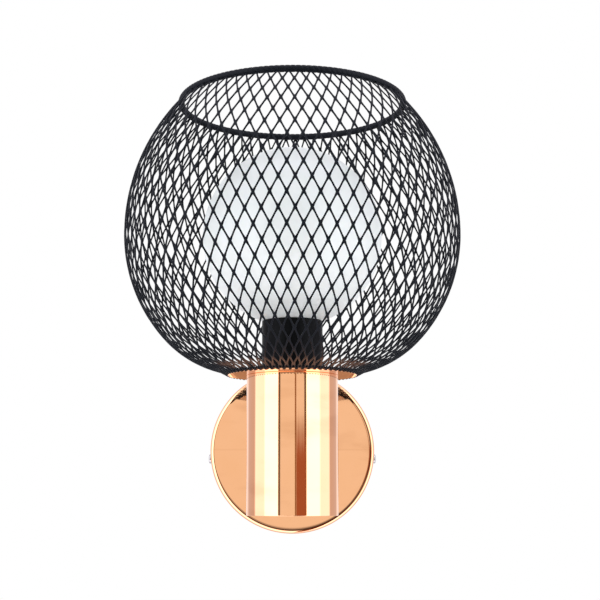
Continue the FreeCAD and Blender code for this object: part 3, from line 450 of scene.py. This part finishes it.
spigot_bore = SPIGOT_RADIUS - PRESSED_WALL
cap_rim = CAP_FACE + SPIGOT_LENGTH
cap_floor = CAP_FACE + PRESSED_WALL
cap_outline = eased([(0, CAP_FACE), (SPIGOT_RADIUS, CAP_FACE), (SPIGOT_RADIUS, cap_rim),
                     (spigot_bore, cap_rim), (spigot_bore, cap_floor), (0, cap_floor)],
                    [0, 0.4, 0.1, 0.1, 0.3, 0])
lower_cap = turned("lower_cap", cap_outline, AXIS, steps=256)

spigot_end = TUBE_END - SPIGOT_LENGTH
flange_outline = eased([(HOLDER_HOLE, TUBE_END), (spigot_bore, TUBE_END), (spigot_bore, spigot_end),
                        (SPIGOT_RADIUS, spigot_end), (SPIGOT_RADIUS, TUBE_END),
                        (FLANGE_RADIUS, TUBE_END), (FLANGE_RADIUS, FLANGE_TOP),
                        (HOLDER_HOLE, FLANGE_TOP)],
                       [0.1, 0.1, 0.1, 0.1, 0.1, 0.35, 0.35, 0.1])
flange = turned("flange_plate", flange_outline, AXIS, steps=320)

for piece, node in ((upright_tube, "body_tube"), (lower_cap, "bottom_cap"),
                    (flange, "flange_disc")):
    copper.cover(piece)
    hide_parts(node)
    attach(piece, "root")


# ---- lampholder ----
# Ceramic insert with a rolled brass screw shell and a sprung centre contact, held down by a
# ring nut. A satin black cup stands round it, on the basket's foot disc.

CUP_RADIUS = 21.0
CUP_TOP = 86.0
DISC_TOP = FLANGE_TOP + PRESSED_WALL
LAMP_PITCH = 3.63

cup_black = Finish("cup_black", Specular_IOR_Level=0.06)
speckle = cup_black.cloud(500, 3)
cup_black.set("Base Color", cup_black.tone(speckle, (0.0015, 0.0018, 0.002), (0.003, 0.0035, 0.004)))
cup_black.set("Roughness", speckle * 0.15 + 0.32).relief(cup_black.cloud(3000, 2), 0.006)
cup_wall = CUP_RADIUS - PRESSED_WALL
cup_floor = DISC_TOP + PRESSED_WALL
cup_outline = eased([(HOLDER_HOLE, DISC_TOP), (CUP_RADIUS, DISC_TOP), (CUP_RADIUS, CUP_TOP),
                     (cup_wall, CUP_TOP), (cup_wall, cup_floor), (HOLDER_HOLE, cup_floor)],
                    [0.1, 0.3, 0.5, 0.3, 0.2, 0.1])
cup = turned("holder_cup", cup_outline, AXIS)
cup_black.cover(cup, nodes["holder_nut"])
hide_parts("holder_cover")
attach(cup, "root")

ceramic = Finish("ceramic", Coat_Weight=0.6, Coat_Roughness=0.12)
fired = ceramic.cloud(220, 4)
ceramic.set("Base Color", ceramic.tone(fired, (0.80, 0.77, 0.71), (0.91, 0.89, 0.85)))
ceramic.set("Roughness", fired * 0.2 + 0.3).relief(ceramic.cloud(900, 3), 0.02)
ceramic.cover(nodes["holder_body"])

shell_low, shell_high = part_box("thread_shell")
shell = threaded("rolled_shell", 13.98, 13.8, 0.4, (shell_low.z * 1000, shell_high.z * 1000),
                 LAMP_PITCH, AXIS, along="z", rows=12)
brass.cover(shell, nodes["centre_contact"], nodes["contact_screws"])
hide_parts("thread_shell")
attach(shell, "root")


# ---- lamp ----
# Globe lamp of opal glass on a short neck, cemented into a rolled screw cap with a glazed
# ring and an end contact. Inside, a glass mount carries four light-giving strips.

GLOBE_RADIUS = 62.5

opal = Finish("opal_glass", Coat_Weight=0.25, Coat_Roughness=0.06,
              Subsurface_Weight=0.1, Emission_Strength=1.0)
bloom = opal.cloud(18, 2)
opal.set("Base Color", opal.tone(bloom, (0.905, 0.925, 0.930), (0.925, 0.945, 0.950)))
opal.set("Roughness", bloom * 0.1 + 0.3)

# Painted light: a faint glow low down on the unlit globe lightens its lower part, which the basket and
# the cup shade.
globe_height = opal.add("SeparateXYZ", {}, {"Vector": opal.spot}, "Z")
painted_glow = opal.ease(globe_height, 0.160, 0.095)
opal.set("Emission Color", opal.tone(painted_glow, (0.0, 0.0, 0.0), (0.20, 0.20, 0.20)))


def globe_outline(outer, wall, neck, centre, waist, foot):
    """The glass's outer line up from the foot and its inner line back down, as (radius, height).

    The globe is r = outer * sin a at height centre - outer * cos a. Below the angle where it
    meets the neck, the line goes over into the neck and into the narrower collar, which ends
    at foot, a pair of radius and height.
    """
    angle = np.linspace(math.asin((neck + 1.5) / outer), np.pi, 90)
    ball = np.stack((outer * np.sin(angle), centre - outer * np.cos(angle)), -1)
    low = np.array([(foot[0], foot[1]), (foot[0], waist), (foot[0] + 0.6, waist + 1.2),
                    (neck - 0.5, waist + 5.0), (neck, waist + 6.5),
                    (neck, ball[0, 1] - 4.0), (neck + 0.4, ball[0, 1] - 1.6)])
    outer_line = np.concatenate((low, ball))
    step = np.gradient(outer_line, axis=0)
    step /= np.linalg.norm(step, axis=1, keepdims=True)
    inner_line = outer_line + wall * np.stack((-step[:, 1], step[:, 0]), -1)
    outer_line[-1, 0] = 0
    inner_line[-1, 0] = 0
    return np.concatenate((outer_line, inner_line[::-1]))


glass_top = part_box("lamp_glass")[1].z * 1000
globe_line = globe_outline(GLOBE_RADIUS, wall=1.0, neck=16.0, waist=61.3, foot=(12.4, 49.3),
                           centre=glass_top - GLOBE_RADIUS)
globe = turned("opal_globe", globe_line, AXIS, steps=160)
opal.cover(globe)
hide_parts("lamp_glass")
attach(globe, "lamp")

cap_metal = Finish("cap_metal", Metallic=1.0)
scuff = cap_metal.cloud(400, 4)
cap_metal.set("Base Color", cap_metal.tone(scuff, (0.60, 0.60, 0.59), (0.80, 0.80, 0.79)))
cap_metal.set("Roughness", scuff * 0.2 + 0.22).relief(cap_metal.cloud(1600, 2), 0.006)
cap_low, cap_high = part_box("lamp_cap")
screw_cap = threaded("screw_cap", 13.25, 12.87, 0.3, (cap_low.z * 1000, cap_high.z * 1000),
                     LAMP_PITCH, AXIS, along="z", rows=12)
cap_metal.cover(screw_cap, nodes["lamp_contact"])
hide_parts("lamp_cap")
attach(screw_cap, "lamp")

glaze = Finish("dark_glaze", Coat_Weight=0.8, Coat_Roughness=0.05)
pooled = glaze.cloud(350, 3)
glaze.set("Base Color", glaze.tone(pooled, (0.012, 0.012, 0.015), (0.05, 0.05, 0.06)))
glaze.set("Roughness", pooled * 0.1 + 0.12)
glaze.cover(nodes["lamp_insulator"])

mount_glass = Finish("mount_glass", Transmission_Weight=0.9, IOR=1.5)
drawn_glass = mount_glass.cloud(90, 3, mount_glass.stretched(1, 1, 0.2))
mount_glass.set("Base Color", mount_glass.tone(drawn_glass, (0.88, 0.94, 0.94), (0.95, 0.98, 0.98)))
mount_glass.set("Roughness", drawn_glass * 0.05 + 0.02)
mount_glass.cover(nodes["lamp_stem"])

phosphor = Finish("phosphor", Coat_Roughness=0.3)
grains = phosphor.cloud(1500, 3)
phosphor.set("Base Color", phosphor.tone(grains, (0.90, 0.62, 0.12), (0.97, 0.80, 0.30)))
phosphor.set("Roughness", grains * 0.2 + 0.35).relief(phosphor.cloud(2500, 2), 0.02)
phosphor.cover(nodes["lamp_strips"])


# ---- basket ----
# One skin of expanded steel: a slit sheet drawn out to diamonds, pressed to a bellied bowl
# and powder coated black. Its cut ends hook round the flange's edge, and a wire ring with
# the upper ends wrapped round it stiffens the rim.

# The sheet's lattice: cells round the basket, rows of cells up it, half a cell's height,
# where the first row's middle and the foot lie on the outline, and how far it is turned.
AROUND = 70
ROWS = 24
ROW_STEP = 9.914
FIRST_ROW = -3.4
FOOT_ROW = 6.5
LATTICE_TURN = 0.17

# A strand's width, half a knot's width and height, the sheet's thickness, how far it lies
# inside the outline, how far an opening's edge is rounded across and down, and the corners
# that an opening has.
STRAND = 1.08
KNOT = (1.06, 1.75)
SHEET = 0.78
INSET = 0.6
EDGE = (0.12, 0.08)
CORNERS = 12


def basket_line(along):
    """Radius, height and outward slope at lengths along the basket's outline from its foot.

    Three arcs run into each other: foot_arc, then side_arc up to the widest place, then the
    shoulder above it. Below FOOT_ROW the cut ends hook down to the flange's edge in a straight
    line, drawn in to a share of their length.
    """
    widest, foot_radius = 117.5, 45.2
    foot_arc, side_arc, shoulder = 74.5, 108.0, 137.0
    side_end = math.radians(42.5)
    turned_down = math.radians(28)
    hook_share = 0.69
    foot_centre = widest - side_arc + (side_arc - foot_arc) * math.cos(side_end)
    foot_end = math.acos((foot_radius - foot_centre) / foot_arc)
    foot_length = foot_arc * (foot_end - side_end)
    side_length = side_arc * side_end
    foot_rise = foot_arc * (math.sin(foot_end) - math.sin(side_end))
    level = FLANGE_TOP + side_arc * math.sin(side_end) + foot_rise
    held = np.maximum(along, FOOT_ROW)
    foot_slope = held / foot_arc - foot_end
    side_slope = (held - foot_length) / side_arc - side_end
    top_slope = (held - foot_length - side_length) / shoulder
    low = held < foot_length
    middle = held < foot_length + side_length
    slope = np.select((low, middle), (foot_slope, side_slope), top_slope)
    arc = np.select((low, middle), (foot_arc, side_arc), shoulder)
    centre = np.select((low, middle), (foot_centre, widest - side_arc), widest - shoulder)
    drop = np.where(low, (side_arc - foot_arc) * math.sin(side_end), 0)
    tail = (held - along) * hook_share
    radius = centre + arc * np.cos(slope) - tail * math.cos(turned_down)
    height = level - drop + arc * np.sin(slope) - tail * math.sin(turned_down)
    return radius, height, np.where(tail > 0, turned_down - math.pi / 2, slope)


def cell_rings(radius, turn):
    """A cell's rings on the flat, of shape (rings, 2, corners), and their depths in the sheet.

    With a and b half the cell's width and height and c and s the cosine and sine of the turn,
    the border runs through a (1 - w), b w, where w = s^q / (c^q + s^q), and the opening
    through A c^q, B s^q. A and B are a and b less half a knot, and q is what leaves the
    strands their width at mid length. The rings go from the border on the outside, over the
    opening's eased edge, to the border on the inside.
    """
    half_width = radius * math.pi / AROUND
    across = half_width * ROW_STEP / math.hypot(half_width, ROW_STEP)
    wide, high = half_width - KNOT[0], ROW_STEP - KNOT[1]
    share = (1 - STRAND / 2 / across) / (wide / half_width + high / ROW_STEP)
    power = -2 * math.log2(share)
    cosine, sine = np.cos(turn).round(9), np.sin(turn).round(9)
    side, upper = np.sign(cosine), np.sign(sine)
    reach, rise = np.abs(cosine) ** power, np.abs(sine) ** power
    border = np.stack((side * reach / (reach + rise), upper * rise / (reach + rise)))
    border = border * [[half_width], [ROW_STEP]]
    rings, depths = [border], [INSET]
    for easing, depth in ((EDGE[0], EDGE[1]), (0.0, SHEET / 2), (EDGE[0], SHEET - EDGE[1])):
        rings.append(np.stack((side * reach * (wide + easing), upper * rise * (high + easing))))
        depths.append(INSET + depth)
    return np.stack(rings + [border]), np.array(depths + [INSET + SHEET])[:, None]


def expanded_sheet(name):
    """Rows of cells on the basket's outline, every second row half a cell on.

    The first and the last row are half cells, closed with a face at each end of a strand.
    The rings are drawn in along the outline's normal by their depths.
    """
    points, faces, start = [], [], 0
    for row in range(ROWS + 1):
        turn = np.arange(CORNERS) * 2 * math.pi / CORNERS
        if row == 0:
            turn = turn[:CORNERS // 2 + 1]
        if row == ROWS:
            turn = np.append(turn[CORNERS // 2:], 2 * math.pi)
        middle = FIRST_ROW + ROW_STEP * row
        radius = basket_line(np.array([max(middle, FOOT_ROW)]))[0][0]
        flat, depth = cell_rings(radius, turn)
        ring_radius, height, slope = basket_line(middle + flat[:, 1])
        ring_radius = ring_radius - depth * np.cos(slope)
        height = height - depth * np.sin(slope)
        centre = (np.arange(AROUND) + 0.5 * (row % 2) + LATTICE_TURN) * 2 * math.pi / AROUND
        angle = centre[:, None, None] + flat[:, 0] / radius
        cell = np.stack((AXIS[0] + ring_radius * np.sin(angle),
                         AXIS[1] - ring_radius * np.cos(angle), height + 0 * angle), -1)
        near = start + np.arange(angle.size).reshape(angle.shape)
        beside = np.roll(near, -1, 2)
        quads = np.stack((near[:, :-1], beside[:, :-1], beside[:, 1:], near[:, 1:]), -1)
        if len(turn) == CORNERS:
            faces.append(quads.reshape(-1, 4))
        else:
            ends = near[:, :, [0, -1]]
            faces.append(quads[:, :, :-1].reshape(-1, 4))
            faces.append(np.stack((ends[:, 0], ends[:, 1], ends[:, 3], ends[:, 4]), -1).reshape(-1, 4))
        points.append(cell.reshape(-1, 3))
        start += angle.size
    return skin(name, np.concatenate(points), np.concatenate(faces))


black = Finish("black_powder_coat", Specular_IOR_Level=0.08)
coat = black.cloud(260, 4)
painted = black.tone(coat, (0.003, 0.004, 0.006), (0.006, 0.008, 0.011))

# Painted reflection: at the front the lowest loops take a copper tint, for the copper under them that
# shines on them.
cage_place = black.add("SeparateXYZ", {}, {"Vector": black.spot})
up = cage_place.beside("Z")
painted_copper_reflection = black.ease(up, 0.0550, 0.0525) * black.ease(up, 0.0496, 0.0506)
painted_copper_reflection = painted_copper_reflection * black.ease(cage_place.beside("Y"), -0.150, -0.160)
black.set("Base Color", black.tone(painted_copper_reflection * coat * 0.45, painted, (0.42, 0.22, 0.14)))
black.set("Roughness", coat * 0.16 + 0.36).relief(black.cloud(2200, 2), 0.012)

basket = expanded_sheet("expanded_basket")
black.cover(basket)
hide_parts("cage_mesh")
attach(basket, "root")


def roped_ring(name, ring, wire, level, depth, ribs):
    """The rim's wire with the strands' ends wrapped round it.

    Round the ring by t and round the wire by u, the wire's radius is wire - depth *
    (1 - |sin(ribs / 2 * t + u)|)^2, so every rib slants once round the wire for two ribs.
    """
    t = np.linspace(0, 2 * np.pi, ribs * 8, endpoint=False)[:, None]
    u = np.linspace(0, 2 * np.pi, 24, endpoint=False)[None, :]
    rib = np.abs(np.sin(ribs / 2 * t + u))
    thick = wire - depth * (1 - rib) ** 2
    out = ring + thick * np.cos(u)
    across, ahead = AXIS[0] + out * np.sin(t), AXIS[1] - out * np.cos(t)
    return surface(name, np.stack((across, ahead, level + thick * np.sin(u)), -1))


rim_low, rim_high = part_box("cage_rim")
rim_wire = (rim_high.z - rim_low.z) * 1000 / 2
rim_ring = rim_high.x * 1000 - rim_wire
rim = roped_ring("roped_rim", rim_ring, rim_wire, rim_high.z * 1000 - rim_wire,
                 depth=0.3, ribs=2 * AROUND)
black.cover(rim)
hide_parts("cage_rim")
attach(rim, "root")


# ---- foot disc ----
# Black steel washer inside the basket's foot. The ring nut draws it down on the flange, and
# it holds the basket there.

black_disc = Finish("black_disc", Specular_IOR_Level=0.08)
disc_coat = black_disc.cloud(260, 4)
black_disc.set("Base Color", black_disc.tone(disc_coat, (0.003, 0.004, 0.006), (0.006, 0.008, 0.011)))
black_disc.set("Roughness", disc_coat * 0.16 + 0.34).relief(black_disc.cloud(2200, 2), 0.012)

disc_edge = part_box("cage_base")[1].x * 1000
disc_outline = eased([(HOLDER_HOLE, FLANGE_TOP), (disc_edge, FLANGE_TOP), (disc_edge, DISC_TOP),
                      (HOLDER_HOLE, DISC_TOP)], 0.2)
foot_disc = turned("foot_disc", disc_outline, AXIS)
black_disc.cover(foot_disc)
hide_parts("cage_base")
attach(foot_disc, "root")


# ---- leads ----
# Soft insulated leads from the connector strip through the hollow rod up to the
# lampholder, and the earth lead, green with yellow, to its ring tag.

for name, low, high in (("lead_live", (0.12, 0.045, 0.02), (0.20, 0.08, 0.04)),
                        ("lead_neutral", (0.03, 0.10, 0.40), (0.06, 0.17, 0.55)),
                        ("lead_earth", (0.10, 0.38, 0.05), (0.16, 0.50, 0.08))):
    covering = Finish(name + "_covering", Coat_Roughness=0.3)
    soft = covering.cloud(300, 3)
    shade = covering.tone(soft, low, high)
    if name == "lead_earth":
        forward_of_wall = covering.add("SeparateXYZ", {}, {"Vector": covering.spot}, "Y")
        stripe = covering.ease(forward_of_wall, -0.0078, -0.0082)
        shade = covering.tone(stripe, shade, (0.85, 0.68, 0.04))
    covering.set("Base Color", shade)
    covering.set("Roughness", soft * 0.15 + 0.42).relief(covering.cloud(2000, 2), 0.01)
    covering.cover(nodes[name])


# ---- room, lamps and camera ----
# White tent with the light in its middle, lit by four tall softboxes, on a pale floor. The
# tent's glowing cloths and their dark seams are what the polished copper shows.

STAND = 2.5
SOFTBOX_HEIGHT = 2.6
middle = Vector((0, AXIS[1] / 1000, 0.15))

for label, turn, spread, level in (("front_left", -55, 38, 2.35), ("front_right", 55, 38, 2.35),
                                   ("side_left", -92, 35, 1.1), ("side_right", 92, 35, 1.1)):
    softbox = bpy.data.lights.new(label, "AREA")
    softbox.shape = "RECTANGLE"
    softbox.size = 2 * STAND * math.tan(math.radians(spread / 2))
    softbox.size_y = SOFTBOX_HEIGHT
    softbox.energy = math.pi * level * softbox.size * softbox.size_y
    box = bpy.data.objects.new(label, softbox)
    turn = math.radians(turn)
    box.location = (STAND * math.sin(turn), middle.y - STAND * math.cos(turn), middle.z)
    box.rotation_euler = (middle - box.location).to_track_quat("-Z", "Y").to_euler()
    box.visible_camera = False
    box.visible_glossy = False
    bpy.context.scene.collection.objects.link(box)

FLOOR_RADIUS = 1.45
FLOOR_LEVEL = -0.21
floor_turn = np.linspace(0, 2 * np.pi, 96, endpoint=False)
floor_edge = np.stack((FLOOR_RADIUS * np.sin(floor_turn),
                       middle.y + FLOOR_RADIUS * np.cos(floor_turn),
                       FLOOR_LEVEL + 0 * floor_turn), -1)
floor_mesh = bpy.data.meshes.new("floor")
floor_mesh.from_pydata(floor_edge.tolist(), [], [list(range(len(floor_turn) - 1, -1, -1))])
floor = bpy.data.objects.new("floor", floor_mesh)
floor.visible_glossy = False
bpy.context.scene.collection.objects.link(floor)

# Towards its edge the floor is seen as the same white as the tent behind it.
paper = Finish("floor_paper", Roughness=0.8)
paper.set("Base Color", paper.tone(paper.cloud(60, 4), (0.80, 0.80, 0.79), (0.86, 0.86, 0.855)))
from_wall = paper.add("VectorMath", {"operation": "LENGTH"}, {0: paper.spot}, "Value")
far_out = paper.ease(from_wall, 0.5, 1.4)
seen = paper.add("LightPath", output="Is Camera Ray")
white = paper.add("Emission", {}, {"Color": (1, 1, 1, 1), "Strength": 1.0})
lit = Signal(paper, paper.shader.outputs[0])
blend = paper.add("MixShader", {}, {0: far_out * seen, 1: lit, 2: white})
paper.link(blend, paper.tree.nodes["Material Output"].inputs["Surface"])
paper.cover(floor)

room = bpy.data.worlds.new("room")
room.use_nodes = True
room.node_tree.nodes.clear()
bpy.context.scene.world = room
air = Nodes(room.node_tree)
way = air.add("SeparateXYZ", {}, {"Vector": air.add("TexCoord", output="Generated")})
forward = way.beside("Y") * -1

# What a polished surface sees, by the angle from the line to the camera's side: the plain
# front, a seam, the bright cloth, the duller cloth behind it, a beige strip and the wall.
BRIGHT = 3.2
tent = []
for start, end, shade in ((0, 29.6, (0.98, 0.96, 0.93)), (31.0, 35.0, (0.17, 0.14, 0.10)),
                          (36.6, 71, (3.0, 3.0, 3.2)), (75, 104, (1.9, 1.8, 2.1)),
                          (109, 141, (0.72, 0.66, 0.72)), (145, 180, (1.05, 1.05, 1.1))):
    tent += [(angle / 180, [level / BRIGHT for level in shade]) for angle in (start, end)]
off_front = air.add("Math", {"operation": "ARCCOSINE"}, {0: forward}) * (1 / math.pi)
cloths = air.add("ValToRGB", {"stops": tent}, {"Fac": off_front})
cloths = air.add("VectorMath", {"operation": "SCALE"}, {0: cloths, "Scale": BRIGHT})

# In front stand a dark pole and, to its right, a table whose top has streaks. The floor low
# in front is duller than the tent.
aside = air.add("Math", {"operation": "ARCTAN2"}, {0: way.beside("X"), 1: forward})
aside = aside * (180 / math.pi)
pole = air.ease(air.add("Math", {"operation": "ABSOLUTE"}, {0: aside - 8.0}), 2.2, 1.4)
streaks = air.add("TexNoise", {"noise_dimensions": "1D"}, {"W": aside, "Scale": 0.35})
table = (air.ease(aside, 9.0, 11.0) * air.ease(aside, 34.0, 33.0)
         * air.ease(way.beside("Z") + streaks * 0.03, 0.092, 0.050))
cloths = air.tone(table, cloths, (0.40, 0.14, 0.07))
cloths = air.tone(pole, cloths, (0.36, 0.20, 0.10))
low_front = air.ease(off_front, 0.17, 0.16) * air.ease(way.beside("Z"), -0.045, -0.080)
cloths = air.tone(low_front, cloths, (0.50, 0.46, 0.44))

path = air.add("LightPath", output="Is Camera Ray")
light = air.tone(path.beside("Is Glossy Ray"), (0.80, 0.80, 0.80), cloths)
light = air.tone(path + path.beside("Is Transmission Ray"), light, (1, 1, 1))
sky = air.add("Background", {}, {"Color": light, "Strength": 1.0})
air.add("OutputWorld", {}, {"Surface": sky})

lens = bpy.data.cameras.new("camera")
lens.sensor_width = 36
lens.lens = 76.60
lens.shift_x = 0.0128
lens.shift_y = 0.09
lens.clip_end = 50
camera = bpy.data.objects.new("camera", lens)
camera.location = (0, -1.0037, -0.0390)
camera.rotation_euler = (math.radians(90 + 6.631), 0, 0)
bpy.context.scene.collection.objects.link(camera)
bpy.context.scene.camera = camera
bpy.context.scene.view_settings.view_transform = "Standard"
